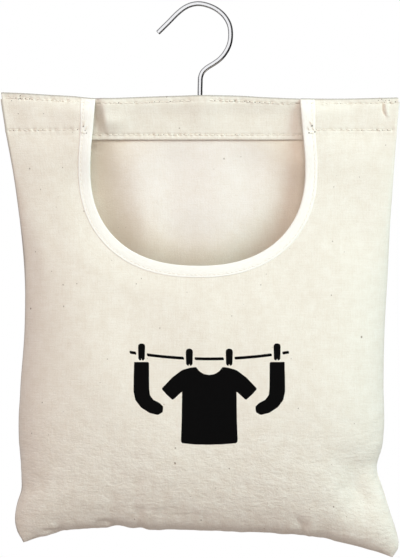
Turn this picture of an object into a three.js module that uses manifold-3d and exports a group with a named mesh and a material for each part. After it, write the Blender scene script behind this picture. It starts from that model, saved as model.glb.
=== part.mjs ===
// Peg bag: a canvas pouch with a scooped, bound mouth, hemmed round a wooden bar on a swivelling wire hook.
// Millimetres. Seen from the front, +X is to the right, +Y to the back and +Z up.
// The origin is the inside of the hook's crown, where a line or rail carries the bag.

import * as THREE from "three";
import { mergeVertices } from "three/addons/utils/BufferGeometryUtils.js";
import Module from "manifold-3d";

const wasm = await Module();
wasm.setup();

const { clamp, degToRad, lerp, smoothstep } = THREE.MathUtils;

// Clearance between pieces that lie on each other
const GAP = 0.3;

// Wire hook, bent from one length of wire with a headed lower end
const WIRE_DIAMETER = 3.5;
const HOOK_RADIUS = 25; // to the middle of the wire
const HOOK_TIP_LENGTH = 21;
const HOOK_TIP_TURN = degToRad(45); // from the top of the hook round to its tip
const NECK_TURN = degToRad(61); // from the side of the hook round to its neck
const NECK_BEND_RADIUS = 9.5;
const STEM_SHOWING = 12; // straight stem between the neck and the top edge of the cloth
const HEAD_DIAMETER = 5.4;
const HEAD_HEIGHT = 1.5;
const WASHER_DIAMETER = 6.2;
const WASHER_HEIGHT = 0.8;

// Wooden hanger bar
const BAR_LENGTH = 284;
const BAR_HEIGHT = 18;
const BAR_THICKNESS = 9.5;
const BAR_EDGE_ROUND = 3;
const BAR_END_ROOM = 11; // cloth past each end of the bar, along the top edge

// Canvas bag
const CLOTH = 0.8;
const BAG_HEIGHT = 334; // top edge to the bottom seam, half way across
const FRONT_BELLY = 36;
const BACK_BELLY = 11;
const BACK_EASE = 45; // drop below the hem in which the back panel swells out
const BACK_FLAT = 0.55; // share of the mouth, from its middle, in which it stays flat
const TOP_STITCH_DROP = 4.2; // stitching below the top edge
const HEM_EDGE = 2.8; // cloth past the stitching that closes a hem
const STRAP_STITCH_DROP = 27; // stitching that holds the strap facings
const STRAP_RISE = 7.5; // how far the straps stand off the hem
const SEAM_WIDTH = 9; // overlocked seam allowance inside the bag
const SEAM_INSET = 6;

// Side edges as [share of the way down, inset from the top corner], bottom seam as [share across, drop]
const LEFT_EDGE = [[0, 0], [0.19, 10.4], [0.4, 18], [0.53, 18], [0.75, 13.5], [0.87, 16], [0.95, 10.8], [1, 17]];
const RIGHT_EDGE = [[0, 0], [0.28, 6.2], [0.62, 10.8], [0.72, 11], [0.8, 16], [0.87, 10], [0.95, 1], [1, 5.5]];
const BOTTOM_EDGE = [[0, 9], [0.13, -1], [0.26, -4], [0.5, 0], [0.66, 1.3], [0.78, 5], [0.9, 12], [1, 20.5]];

// Scooped mouth and its binding tape
const SCOOP_TOP_WIDTH = 158;
const SCOOP_WIDTH = 165;
const SCOOP_SIDE = 57; // drop to the widest place, where the round part starts
const SCOOP_DEPTH = 131;
const SCOOP_POWER = 2.3; // of a superellipse: 2 would be an ellipse
const SCOOP_SHIFT = -1.6; // from the middle of the bag
const TAPE = 0.5;
const BINDING_WIDTH = 9;
const BINDING_STITCH = 2; // from the binding's outer edge

const THREAD = 0.5;

// How finely the curved pieces are cut
const COLUMNS = 26;
const BODY_ROWS = 15;
const SCOOP_STEPS = 30;
const SEAM_STEPS = 14;
const ROUND_SIDES = 24;
const WIRE_SIDES = 12;
const WIRE_STEPS = 60;
const THREAD_SIDES = 6;

// Sizes that follow from those above. Drops are below the top edge of the cloth.
const LAYER = CLOTH + GAP;
const HOLE_RADIUS = WIRE_DIAMETER / 2 + GAP;
const HOOK_CENTRE = WIRE_DIAMETER / 2 - HOOK_RADIUS;
const NECK_OFFSET = HOOK_RADIUS * Math.cos(NECK_TURN) - NECK_BEND_RADIUS * (1 - Math.cos(NECK_TURN));
const NECK_STRAIGHT = NECK_OFFSET / Math.sin(NECK_TURN); // brings the stem under the middle of the hook
const STEM_TOP = -(HOOK_RADIUS + NECK_BEND_RADIUS) * Math.sin(NECK_TURN) - NECK_STRAIGHT * Math.cos(NECK_TURN);
const TOP_HALF = BAR_LENGTH / 2 + BAR_END_ROOM;
const HEM_EASE = 0.44 * BAR_THICKNESS; // drop in which the hem closes above and below the bar
const BAR_TOP = TOP_STITCH_DROP + HEM_EASE;
const BAR_BOTTOM = BAR_TOP + BAR_HEIGHT;
const RECESS_DEPTH = HEAD_HEIGHT + WASHER_HEIGHT + 3 * GAP;
const WASHER_DROP = BAR_BOTTOM - RECESS_DEPTH + GAP + WASHER_HEIGHT / 2;
const HEAD_DROP = BAR_BOTTOM - GAP; // to the head's lower face
const HEM_STITCH = BAR_BOTTOM + HEM_EASE;
const HEM_DEPTH = HEM_STITCH + HEM_EDGE;
const HEM_BULGE = (BAR_THICKNESS + GAP) / 2;
const HEM_FULL_TOP = BAR_TOP + BAR_EDGE_ROUND / 2;
const HEM_FULL_BOTTOM = BAR_BOTTOM - BAR_EDGE_ROUND / 2;
const END_RAMP = 0.45 * BAR_END_ROOM;
const STRAP_STACK = 2.7 * LAYER; // the straps' distance from the middle plane over the hem
const STRAP_EASE = 40; // drop in which they come back to the back panel
const STRAP_FACING_DROP = STRAP_STITCH_DROP + HEM_EDGE;
const BINDING_REACH = BINDING_WIDTH - GAP - TAPE;
const ON_CLOTH = CLOTH / 2 + GAP + THREAD / 2;
const ON_TAPE = ON_CLOTH + TAPE + 2 * GAP;
const PAST = 50; // how far a cutter runs past what it cuts

// A closed geometry becomes a solid with its faces outwards
function solidOf(geometry) {
  const bare = new THREE.BufferGeometry();
  bare.setAttribute("position", geometry.getAttribute("position"));
  bare.setIndex(geometry.index);
  const merged = mergeVertices(bare, 1e-4);
  const corners = merged.index.array;
  const triangles = [];
  for (let i = 0; i < corners.length; i += 3) {
    const [a, b, c] = corners.slice(i, i + 3);
    if (a !== b && b !== c && c !== a) triangles.push([a, b, c]);
  }
  const made = (turned) =>
    new wasm.Manifold(
      new wasm.Mesh({
        numProp: 3,
        vertProperties: merged.attributes.position.array,
        triVerts: new Uint32Array(triangles.flatMap(([a, b, c]) => (turned ? [a, c, b] : [a, b, c]))),
      }),
    );
  const solid = made(false);
  return solid.volume() > 0 ? solid : made(true);
}

// A solid becomes a geometry again
function geometryOf(solid) {
  const mesh = solid.getMesh();
  const geometry = new THREE.BufferGeometry();
  geometry.setAttribute("position", new THREE.BufferAttribute(mesh.vertProperties, 3));
  geometry.setIndex(new THREE.BufferAttribute(mesh.triVerts, 1));
  geometry.computeVertexNormals();
  return geometry;
}

function cylinder(radius, bottom, top) {
  const geometry = new THREE.CylinderGeometry(radius, radius, top - bottom, ROUND_SIDES);
  geometry.rotateX(Math.PI / 2);
  geometry.translate(0, 0, (top + bottom) / 2);
  return solidOf(geometry);
}

// A prism of an outline of [x, z] points, right through the bag from front to back
function prism(outline) {
  const shape = new THREE.Shape(outline.map(([x, z]) => new THREE.Vector2(x, z)));
  const depth = 2 * (FRONT_BELLY + BACK_BELLY + PAST);
  const geometry = new THREE.ExtrudeGeometry(shape, { depth, bevelEnabled: false });
  geometry.translate(0, 0, -depth / 2);
  geometry.rotateX(Math.PI / 2);
  return solidOf(geometry);
}

// A round section along a curve
function tube(extrudePath, diameter, sides, steps) {
  const corners = Array.from({ length: sides }, (_, i) => {
    const angle = (2 * Math.PI * i) / sides;
    return new THREE.Vector2(Math.cos(angle), Math.sin(angle)).multiplyScalar(diameter / 2);
  });
  return solidOf(new THREE.ExtrudeGeometry(new THREE.Shape(corners), { steps, extrudePath, bevelEnabled: false }));
}

// The closed solid between two grids of points with the same rows and columns
function between(front, back) {
  const rows = front.length;
  const columns = front[0].length;
  const [lastRow, lastColumn] = [rows - 1, columns - 1];
  const at = (side, row, column) => (side * rows + row) * columns + column;
  const index = [];
  const quad = (a, b, c, d) => index.push(a, b, c, a, c, d);
  for (let r = 0; r < lastRow; r++) {
    for (let c = 0; c < lastColumn; c++) {
      quad(at(0, r, c), at(0, r, c + 1), at(0, r + 1, c + 1), at(0, r + 1, c));
      quad(at(1, r, c), at(1, r + 1, c), at(1, r + 1, c + 1), at(1, r, c + 1));
    }
    quad(at(0, r, 0), at(0, r + 1, 0), at(1, r + 1, 0), at(1, r, 0));
    quad(at(0, r, lastColumn), at(1, r, lastColumn), at(1, r + 1, lastColumn), at(0, r + 1, lastColumn));
  }
  for (let c = 0; c < lastColumn; c++) {
    quad(at(0, 0, c), at(1, 0, c), at(1, 0, c + 1), at(0, 0, c + 1));
    quad(at(0, lastRow, c), at(0, lastRow, c + 1), at(1, lastRow, c + 1), at(1, lastRow, c));
  }
  const geometry = new THREE.BufferGeometry().setFromPoints([...front, ...back].flat());
  geometry.setIndex(index);
  return solidOf(geometry);
}

// The layer over a grid of points between two distances along its normals, which point forwards
function layer(middle, from, to) {
  const [lastRow, lastColumn] = [middle.length - 1, middle[0].length - 1];
  const moved = (distance) =>
    middle.map((points, r) =>
      points.map((point, c) => {
        const across = points[Math.min(c + 1, lastColumn)].clone().sub(points[Math.max(c - 1, 0)]);
        const up = middle[Math.min(r + 1, lastRow)][c].clone().sub(middle[Math.max(r - 1, 0)][c]);
        return point.clone().addScaledVector(across.cross(up).normalize(), distance);
      }),
    );
  return between(moved(to), moved(from));
}

// A sheet of cloth with the grid down its middle
function sheet(middle, half = CLOTH / 2) {
  return layer(middle, -half, half);
}

// A smooth function through [at, value] points
function through(points) {
  const last = points.length - 1;
  const slope = (i) => {
    const [a, b] = [points[Math.max(i - 1, 0)], points[Math.min(i + 1, last)]];
    return (b[1] - a[1]) / (b[0] - a[0]);
  };
  return (at) => {
    const after = points.findIndex(([place]) => place > at);
    const i = after < 0 ? last - 1 : Math.max(after - 1, 0);
    const [[a, from], [b, to]] = [points[i], points[i + 1]];
    const t = (at - a) / (b - a);
    const [t2, t3] = [t ** 2, t ** 3];
    const bend = (t3 - 2 * t2 + t) * slope(i) + (t3 - t2) * slope(i + 1);
    return (2 * t3 - 3 * t2 + 1) * from + (3 * t2 - 2 * t3) * to + bend * (b - a);
  };
}

const leftInset = through(LEFT_EDGE);
const rightInset = through(RIGHT_EDGE);
const bottomExtra = through(BOTTOM_EDGE);
const bottomDrop = (u) => BAG_HEIGHT + bottomExtra(u);

// Where the cloth lies: u is the share of the way across, drop is below the top edge
function sides(u, drop) {
  const share = drop / bottomDrop(u);
  return [-TOP_HALF + leftInset(share), TOP_HALF - rightInset(share)];
}

function shareAcross(x, drop) {
  const [left, right] = sides(0.5, drop);
  return (x - left) / (right - left);
}

// How far the pouch has swelled, from 0 at the seams to 1 at its fullest place
function swell(u, drop) {
  const t = clamp((drop - HEM_STITCH) / (bottomDrop(u) - HEM_STITCH), 0, 1);
  const fullest = (2 / 3) * Math.sqrt(1 / 3);
  const across = Math.max(1 - Math.abs(2 * u - 1) ** 3, 0) ** 0.6;
  return ((t * Math.sqrt(1 - t)) / fullest) * across;
}

// How far the back panel lies behind the hem: flat in the middle of the mouth, and swelling out round it
function backOut(x, u, drop) {
  const aside = Math.abs(x - SCOOP_SHIFT) / (SCOOP_WIDTH / 2);
  const below = Math.max(drop - SCOOP_SIDE, 0) / (0.8 * SCOOP_DEPTH);
  const fromMiddle = (aside ** SCOOP_POWER + below ** SCOOP_POWER) ** (1 / SCOOP_POWER);
  const t = clamp((drop - HEM_STITCH) / (bottomDrop(u) - HEM_STITCH), 0, 1);
  const across = Math.max(1 - Math.abs(2 * u - 1) ** 4, 0) ** 0.6;
  const down = smoothstep(drop, HEM_STITCH, HEM_STITCH + BACK_EASE) * (1 - t ** 8) ** 0.6;
  const flat = LAYER * clamp((drop - HEM_STITCH) / HEM_EDGE, 0, 1);
  return lerp(flat, BACK_BELLY * down * across, smoothstep(fromMiddle, BACK_FLAT, BACK_FLAT + 0.5));
}

// 0 at a side seam and 1 past the ramp beside it
function pastSeam(x, u, drop) {
  const [left, right] = sides(u, drop);
  return smoothstep(Math.min(x - left, right - x), 0, END_RAMP);
}

// The hem stands out round the bar, and a little round the hook's stem above it
function hemOut(x, u, drop) {
  const above = clamp((drop - TOP_STITCH_DROP) / (HEM_FULL_TOP - TOP_STITCH_DROP), 0, 1);
  const below = clamp((HEM_STITCH - drop) / (HEM_STITCH - HEM_FULL_BOTTOM), 0, 1);
  const tent = drop < BAR_TOP ? (HOLE_RADIUS + GAP) * Math.exp(-((x / (2 * WIRE_DIAMETER)) ** 2)) : 0;
  return LAYER / 2 + Math.max(HEM_BULGE * Math.min(above, below) * pastSeam(x, u, drop), tent);
}

function backAt(u, drop) {
  const x = lerp(...sides(u, drop), u);
  return new THREE.Vector3(x, hemOut(x, u, drop) + backOut(x, u, drop), -drop);
}

// The back panel's top turned forwards and down, which closes the hem
function bandAt(u, drop) {
  const x = lerp(...sides(u, drop), u);
  return new THREE.Vector3(x, -hemOut(x, u, drop), -drop);
}

function frontAt(u, drop) {
  const x = lerp(...sides(u, drop), u);
  const stack = lerp(STRAP_STACK, LAYER / 2, smoothstep(drop, HEM_DEPTH, HEM_DEPTH + STRAP_EASE));
  const lift = clamp((drop - CLOTH) / (HEM_FULL_TOP - CLOTH), 0, 1);
  const settled = smoothstep(drop, HEM_DEPTH, HEM_DEPTH + 2 * STRAP_EASE);
  const rise = STRAP_RISE * lift * (1 - settled) * pastSeam(x, u, drop);
  return new THREE.Vector3(x, -stack - rise - FRONT_BELLY * swell(u, drop), -drop);
}

// A place on one of those surfaces moved forwards along its normal
function forwards(surface, u, drop, distance) {
  const across = surface(Math.min(u + 0.002, 1), drop).sub(surface(Math.max(u - 0.002, 0), drop));
  const up = surface(u, drop - 0.5).sub(surface(u, drop + 0.5));
  return surface(u, drop).addScaledVector(across.cross(up).normalize(), distance);
}

// Columns crowd towards the side seams and the hook's stem, rows towards the bottom seam
const columns = Array.from({ length: COLUMNS + 1 }, (_, i) => {
  const t = i / COLUMNS;
  return t - (0.8 * Math.sin(4 * Math.PI * t)) / (4 * Math.PI);
});

function bodyDrops(u, hem) {
  return Array.from({ length: BODY_ROWS }, (_, i) => lerp(bottomDrop(u), hem, (i / BODY_ROWS) ** 1.5));
}

// Rows of points, from the points of each column
function rowsOf(pointsAt) {
  const byColumn = columns.map(pointsAt);
  return byColumn[0].map((_, r) => byColumn.map((points) => points[r]));
}

// The front panel's middle before the mouth is cut, up to the drop given for its top
function frontMiddle(top) {
  const hem = [HEM_DEPTH, HEM_FULL_BOTTOM, HEM_FULL_TOP, (HEM_FULL_TOP + CLOTH) / 2, CLOTH, top];
  return rowsOf((u) => [...bodyDrops(u, HEM_DEPTH), ...hem].map((drop) => frontAt(u, drop)));
}

function frontPanel() {
  return sheet(frontMiddle(CLOTH / 2)).subtract(prism(mouth(0)));
}

// The back panel goes up behind the bar, over it and down again in front of it
function backPanel() {
  const hem = [HEM_STITCH, HEM_FULL_BOTTOM, HEM_FULL_TOP, BAR_TOP, TOP_STITCH_DROP];
  const middle = rowsOf((u) => {
    const { x, y: radius } = backAt(u, 0);
    const fold = [0, 45, 90, 135, 180].map((degrees) => {
      const angle = degToRad(degrees);
      return new THREE.Vector3(x, radius * Math.cos(angle), radius * (Math.sin(angle) - 1) - CLOTH / 2);
    });
    const up = [...bodyDrops(u, HEM_DEPTH), HEM_DEPTH, ...hem].map((drop) => backAt(u, drop));
    const down = [...hem.toReversed(), HEM_DEPTH].map((drop) => bandAt(u, drop));
    return [...up, ...fold, ...down];
  });
  return sheet(middle).subtract(cylinder(HOLE_RADIUS, -BAR_BOTTOM, PAST));
}

// Half the mouth's width beside the straps
function mouthHalf(drop) {
  return lerp(SCOOP_TOP_WIDTH, SCOOP_WIDTH, smoothstep(drop, 0, SCOOP_SIDE)) / 2;
}

// The mouth's edge as [x, z] points from the top right round to the top left, moved into the cloth by grow
function mouthEdge(grow) {
  const drops = [0, 1, 2, 3].map((i) => (i * SCOOP_SIDE) / 4);
  const bent = (value) => Math.sign(value) * Math.abs(value) ** (2 / SCOOP_POWER);
  const round = Array.from({ length: SCOOP_STEPS + 1 }, (_, i) => {
    const angle = (Math.PI * i) / SCOOP_STEPS;
    const drop = SCOOP_SIDE + (SCOOP_DEPTH - SCOOP_SIDE) * bent(Math.sin(angle));
    return [(SCOOP_WIDTH / 2) * bent(Math.cos(angle)), -drop];
  });
  const right = drops.map((drop) => [mouthHalf(drop), -drop]);
  const left = drops.toReversed().map((drop) => [-mouthHalf(drop), -drop]);
  const line = [...right, ...round, ...left];
  return line.map(([x, z], i) => {
    const [from, to] = [line[Math.max(i - 1, 0)], line[Math.min(i + 1, line.length - 1)]];
    const [dx, dz] = [to[0] - from[0], to[1] - from[1]];
    const share = grow / Math.hypot(dx, dz);
    return [x + SCOOP_SHIFT - dz * share, z + dx * share];
  });
}

// The mouth as a closed outline, which runs out past the top edge
function mouth(grow) {
  const edge = mouthEdge(grow);
  return [[edge[0][0], PAST], ...edge, [edge[edge.length - 1][0], PAST]];
}

// The tape folded over the mouth's raw edge: a channel with the cloth in its slot
function scoopBinding() {
  const slot = CLOTH / 2 + GAP;
  const ring = prism(mouth(BINDING_REACH)).subtract(prism(mouth(-GAP - TAPE)));
  const cloth = sheet(frontMiddle(-CLOTH), slot).subtract(prism(mouth(-GAP)));
  return sheet(frontMiddle(CLOTH / 2), slot + TAPE).intersect(ring).subtract(cloth);
}

// The doubled cloth behind a strap's top, between two places across
function strapFacing(from, to) {
  const near = CLOTH / 2 + GAP;
  const outline = [[from, -STRAP_FACING_DROP], [to, -STRAP_FACING_DROP], [to, 0], [from, 0]];
  return layer(frontMiddle(CLOTH / 2), -near - CLOTH, -near).intersect(prism(outline));
}

// A row of stitching at one drop, between two places across
function stitchRow(surface, drop, from, to, distance) {
  const steps = Math.max(4, Math.round(Math.abs(to - from) / 8));
  const points = Array.from({ length: steps + 1 }, (_, i) =>
    forwards(surface, shareAcross(lerp(from, to, i / steps), drop), drop, distance),
  );
  return tube(new THREE.CatmullRomCurve3(points), THREAD, THREAD_SIDES, steps);
}

// The stitching round the mouth, on the face of its binding
function bindingStitching() {
  const edge = mouthEdge(BINDING_REACH - BINDING_STITCH).slice(1, -1);
  const points = edge.map(([x, z]) => forwards(frontAt, shareAcross(x, -z), -z, ON_TAPE));
  return tube(new THREE.CatmullRomCurve3(points), THREAD, THREAD_SIDES, 2 * SCOOP_STEPS);
}

// An overlocked seam allowance against the back panel inside the bag, from the [u, drop] of each of its points
function seamAllowance(placeAt) {
  const near = CLOTH / 2 + 3 * GAP;
  const grid = (distance) =>
    [0, 0.5, 1].map((share) =>
      Array.from({ length: SEAM_STEPS + 1 }, (_, i) => {
        const [u, drop] = placeAt(i / SEAM_STEPS, SEAM_INSET + share * SEAM_WIDTH);
        return forwards(backAt, u, drop, distance);
      }),
    );
  return between(grid(near), grid(near + 2 * CLOTH));
}

function sideSeam(side) {
  return seamAllowance((along, inset) => {
    const drop = lerp(HEM_DEPTH + STRAP_EASE, BAG_HEIGHT - 4 * SEAM_WIDTH, along);
    const x = side < 0 ? sides(0, drop)[0] + inset : sides(1, drop)[1] - inset;
    return [shareAcross(x, drop), drop];
  });
}

function bottomSeam() {
  return seamAllowance((along, inset) => {
    const u = lerp(0.08, 0.92, along);
    return [u, bottomDrop(u) - inset];
  });
}

// The hook's wire runs from its tip over the top, through the neck and down the stem
class WirePath extends THREE.Curve {
  constructor(bottom) {
    super();
    const turn = HOOK_TIP_TURN + Math.PI / 2 + NECK_TURN;
    this.stretches = [
      [HOOK_TIP_LENGTH, (s) => this.straight(this.round(this.start), this.start, s - HOOK_TIP_LENGTH)],
      [turn * HOOK_RADIUS, (s) => this.round(this.start - s / HOOK_RADIUS)],
      [NECK_STRAIGHT, (s) => this.straight(this.round(-NECK_TURN), -NECK_TURN, s)],
      [NECK_TURN * NECK_BEND_RADIUS, (s) => this.neck(Math.PI - NECK_TURN + s / NECK_BEND_RADIUS)],
      [STEM_TOP - bottom, (s) => new THREE.Vector3(0, 0, STEM_TOP - s)],
    ];
    this.total = this.stretches.reduce((sum, [length]) => sum + length, 0);
  }

  start = HOOK_TIP_TURN + Math.PI / 2;

  round(angle) {
    return new THREE.Vector3(HOOK_RADIUS * Math.cos(angle), 0, HOOK_RADIUS * Math.sin(angle));
  }

  neck(angle) {
    const [across, up] = [1 + Math.cos(angle), Math.sin(angle)];
    return new THREE.Vector3(NECK_BEND_RADIUS * across, 0, STEM_TOP + NECK_BEND_RADIUS * up);
  }

  straight(from, angle, length) {
    return from.add(new THREE.Vector3(Math.sin(angle), 0, -Math.cos(angle)).multiplyScalar(length));
  }

  getPoint(t) {
    let rest = t * this.total;
    for (const [length, pointAt] of this.stretches) {
      if (rest <= length) return pointAt(rest);
      rest -= length;
    }
    return this.stretches.at(-1)[1](this.stretches.at(-1)[0]);
  }
}

// The wire's head bears on the washer in a recess under the bar
function wireHook() {
  const headBottom = STEM_TOP - STEM_SHOWING - HEAD_DROP;
  const wire = tube(new WirePath(headBottom + HEAD_HEIGHT / 2), WIRE_DIAMETER, WIRE_SIDES, WIRE_STEPS);
  return wire.add(cylinder(HEAD_DIAMETER / 2, headBottom, headBottom + HEAD_HEIGHT));
}

function hookWasher() {
  const [inner, outer, half] = [HOLE_RADIUS, WASHER_DIAMETER / 2, WASHER_HEIGHT / 2];
  const corners = [[inner, -half], [outer, -half], [outer, half], [inner, half], [inner, -half]];
  const geometry = new THREE.LatheGeometry(corners.map(([x, y]) => new THREE.Vector2(x, y)), ROUND_SIDES);
  geometry.rotateX(Math.PI / 2);
  return solidOf(geometry);
}

function hangerBar() {
  const [halfLength, halfHeight] = [BAR_LENGTH / 2 - BAR_EDGE_ROUND, BAR_HEIGHT / 2 - BAR_EDGE_ROUND];
  const corners = [[-1, -1], [1, -1], [1, 1], [-1, 1]];
  const face = new THREE.Shape(corners.map(([x, z]) => new THREE.Vector2(x * halfLength, z * halfHeight)));
  const depth = BAR_THICKNESS - 2 * BAR_EDGE_ROUND;
  const bevel = { bevelThickness: BAR_EDGE_ROUND, bevelSize: BAR_EDGE_ROUND, bevelSegments: 4 };
  const geometry = new THREE.ExtrudeGeometry(face, { depth, ...bevel });
  geometry.translate(0, 0, -depth / 2);
  geometry.rotateX(Math.PI / 2);
  return solidOf(geometry)
    .subtract(cylinder(HOLE_RADIUS, -PAST, PAST))
    .subtract(cylinder(WASHER_DIAMETER / 2 + GAP, -PAST, RECESS_DEPTH - BAR_HEIGHT / 2));
}

const canvas = { color: "#e9e0cd", roughness: 0.92, metalness: 0 };
const tape = { color: "#f7f4ea", roughness: 0.85, metalness: 0 };
const thread = { color: "#efe7d6", roughness: 0.75, metalness: 0 };
const chrome = { color: "#c9cacc", roughness: 0.18, metalness: 1 };
const zinc = { color: "#b4b6b8", roughness: 0.4, metalness: 1 };
const pine = { color: "#d8b98a", roughness: 0.7, metalness: 0 };

function addPiece(group, name, solid, look) {
  const mesh = new THREE.Mesh(geometryOf(solid), new THREE.MeshStandardMaterial(look));
  mesh.name = name;
  group.add(mesh);
  return mesh;
}

const pegBag = new THREE.Group();

// The hook, about the middle of its round
const hanging = new THREE.Group();
hanging.position.z = HOOK_CENTRE;
pegBag.add(hanging);
addPiece(hanging, "hook", wireHook(), chrome);

// Everything that the hook carries, down from the top edge of the cloth
const sewn = new THREE.Group();
sewn.position.z = HOOK_CENTRE + STEM_TOP - STEM_SHOWING;
pegBag.add(sewn);
addPiece(sewn, "hook_washer", hookWasher(), zinc).position.z = -WASHER_DROP;
addPiece(sewn, "hanger_bar", hangerBar(), pine).position.z = -(BAR_TOP + BAR_BOTTOM) / 2;
addPiece(sewn, "back_panel", backPanel(), canvas);
addPiece(sewn, "front_panel", frontPanel(), canvas);
addPiece(sewn, "scoop_binding", scoopBinding(), tape);
addPiece(sewn, "bottom_seam", bottomSeam(), canvas);

const hemHalf = BAR_LENGTH / 2;
const bandHalf = SCOOP_TOP_WIDTH / 2;
const facingInner = Math.max(SCOOP_TOP_WIDTH, SCOOP_WIDTH) / 2 + BINDING_WIDTH;
addPiece(sewn, "hem_stitching", stitchRow(bandAt, HEM_STITCH, -hemHalf, hemHalf, ON_CLOTH), thread);
addPiece(sewn, "back_top_stitching", stitchRow(bandAt, TOP_STITCH_DROP, -bandHalf, bandHalf, ON_CLOTH), thread);
addPiece(sewn, "binding_stitching", bindingStitching(), thread);

// The straps beside the mouth, from the bar's ends to the binding
for (const [name, side] of [["left", -1], ["right", 1]]) {
  const across = (drop, grow) => side * (mouthHalf(drop) + grow) + SCOOP_SHIFT;
  const row = (drop) => stitchRow(frontAt, drop, side * hemHalf, across(drop, BINDING_WIDTH), ON_CLOTH);
  const tack = [0, BINDING_REACH - BINDING_STITCH - 2 * THREAD].map((grow) => across(STRAP_STITCH_DROP, grow));
  addPiece(sewn, `${name}_strap_facing`, strapFacing(side * hemHalf, side * facingInner + SCOOP_SHIFT), canvas);
  addPiece(sewn, `${name}_top_stitching`, row(TOP_STITCH_DROP), thread);
  addPiece(sewn, `${name}_strap_stitching`, row(STRAP_STITCH_DROP), thread);
  addPiece(sewn, `${name}_binding_tack`, stitchRow(frontAt, STRAP_STITCH_DROP, ...tack, ON_TAPE), thread);
  addPiece(sewn, `${name}_side_seam`, sideSeam(side), canvas);
}

export default pegBag;
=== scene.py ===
import math

import bpy
import numpy as np
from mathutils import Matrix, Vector
from mathutils.bvhtree import BVHTree
from mathutils.geometry import delaunay_2d_cdt
from mathutils.kdtree import KDTree


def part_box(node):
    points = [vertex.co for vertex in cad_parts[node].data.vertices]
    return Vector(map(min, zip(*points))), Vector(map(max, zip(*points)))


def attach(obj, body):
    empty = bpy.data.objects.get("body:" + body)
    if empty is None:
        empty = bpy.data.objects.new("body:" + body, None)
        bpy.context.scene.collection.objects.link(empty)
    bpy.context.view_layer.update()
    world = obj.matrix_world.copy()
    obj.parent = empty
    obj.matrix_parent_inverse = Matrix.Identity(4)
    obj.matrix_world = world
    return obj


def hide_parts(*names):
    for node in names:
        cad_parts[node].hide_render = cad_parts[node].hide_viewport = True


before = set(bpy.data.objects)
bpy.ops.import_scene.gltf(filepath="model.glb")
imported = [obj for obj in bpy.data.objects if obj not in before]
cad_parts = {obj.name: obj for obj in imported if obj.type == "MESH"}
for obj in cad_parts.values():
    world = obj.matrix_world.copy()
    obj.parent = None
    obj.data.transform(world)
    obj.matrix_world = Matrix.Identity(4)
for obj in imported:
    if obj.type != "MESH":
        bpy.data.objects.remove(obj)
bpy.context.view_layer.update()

# All shapes are worked out in millimetres. Drops are below the top edge of the cloth.
MM = 0.001
HEM_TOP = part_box("back_panel")[1].z / MM
HALF = 0.4  # half the thickness of the canvas
LAYER = 0.55  # half the distance between two layers that lie together
SPAN = 290  # width of the flat patterns
MIDDLE_DROP = 180  # of the bag's middle

FRONT_BELLY, BACK_BELLY = 36, 9.5
TOP_ROW, STRAP_ROW, HEM_ROW = 4.2, 27, 30.3  # drops of the rows of stitching
STRAP_TOP_END, STRAP_ROW_END, HEM_ROW_END, BACK_TOP_END = 149.5, 147, 148, 149  # x of their outer ends
PITCH = 4.0  # of the stitching
HEM_DEPTH, FACING_DEPTH = 33.4, 29.5
FOLD, FOLD_END = 0.6, -2.2  # radius of a strap's folded top, and where the facing behind it begins
BAR_FULL_TOP, BAR_FULL_BOTTOM = 9.9, 24.9
HEM_BULGE, STRAP_BULGE = 4.9, 7.6  # how far the bar holds the cloth out
STRAP_STACK, SEAM_STACK = 2.9, 1.65  # from the middle of the layers to the front panel
LEFT_FLARE, RIGHT_FLARE = 6, 4.5  # how far the straps' inner edges stand off
STRAP_RAMP, HEM_RAMP = 28, 7.5  # how near the side seams the cloth turns towards them
HEM_SHIFT = 4.2  # how far the hem's lower edge lies in front of the bar's middle
FOLD_SHIFT = 7.0  # how far the folded top lies in front of it
FOLD_WAVE = 0.85  # share of the hem's wave that its folded top has
SCOOP_TOP_HALF, SCOOP_HALF, SCOOP_SIDE, SCOOP_DEPTH = 79.2, 82.8, 57, 131.8
SCOOP_POWER, SCOOP_SHIFT = 2.3, -1.75
BINDING, BINDING_TOP = 8.6, 1.3
BINDING_FLARE = 0.22  # how much wider the tape is at its top
STEM_HOLE = 2.7
ROLL = 0.57  # radius of a seam's turned edge
ALLOWANCE = 8
PRINT_X, PRINT_DROP = 7, 196
FACING_GAP, FACING_END = 10.5, 148  # from the mouth's edge to a strap's facing, and x of its outer end
CREASE_X = -69  # of the hem's sharp crease
LOOSE = 0.2  # radius of the overlock's thread


# Helpers

def smooth(x, start, end):
    """An even rise from 0 to 1."""
    t = np.clip((x - start) / (end - start), 0, 1)
    return t * t * (3 - 2 * t)


def plateau(x, start, full, last, end):
    """A rise from 0 to 1 and a fall back to 0."""
    return smooth(x, start, full) * (1 - smooth(x, last, end))


def bell(x, width):
    return np.exp(-((x / width) ** 2))


def through(points):
    """A smooth function through (at, value) points."""
    at, values = np.array(points, float).T
    slopes = np.gradient(values, at)

    def value(x):
        x = np.clip(x, at[0], at[-1])
        k = np.clip(np.searchsorted(at, x, side="right") - 1, 0, len(at) - 2)
        step = at[k + 1] - at[k]
        t = (x - at[k]) / step
        bend = (t**3 - 2 * t**2 + t) * slopes[k] + (t**3 - t**2) * slopes[k + 1]
        return (2 * t**3 - 3 * t**2 + 1) * values[k] + (3 * t**2 - 2 * t**3) * values[k + 1] + bend * step

    return value


def unit(v):
    return v / np.maximum(np.linalg.norm(v, axis=-1, keepdims=True), 1e-12)


def turns(count):
    return np.linspace(0, 2 * math.pi, count, endpoint=False)


def run_along(line):
    """How far along a line each of its points lies."""
    return np.concatenate([[0], np.cumsum(np.linalg.norm(np.diff(line, axis=0), axis=1))])


def between(at, known, points):
    return np.stack([np.interp(at, known, column) for column in np.transpose(points)], 1)


def resampled(line, step):
    """Points along a line at even steps."""
    run = run_along(line)
    return between(np.linspace(0, run[-1], max(2, int(round(run[-1] / step)) + 1)), run, line)


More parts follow.
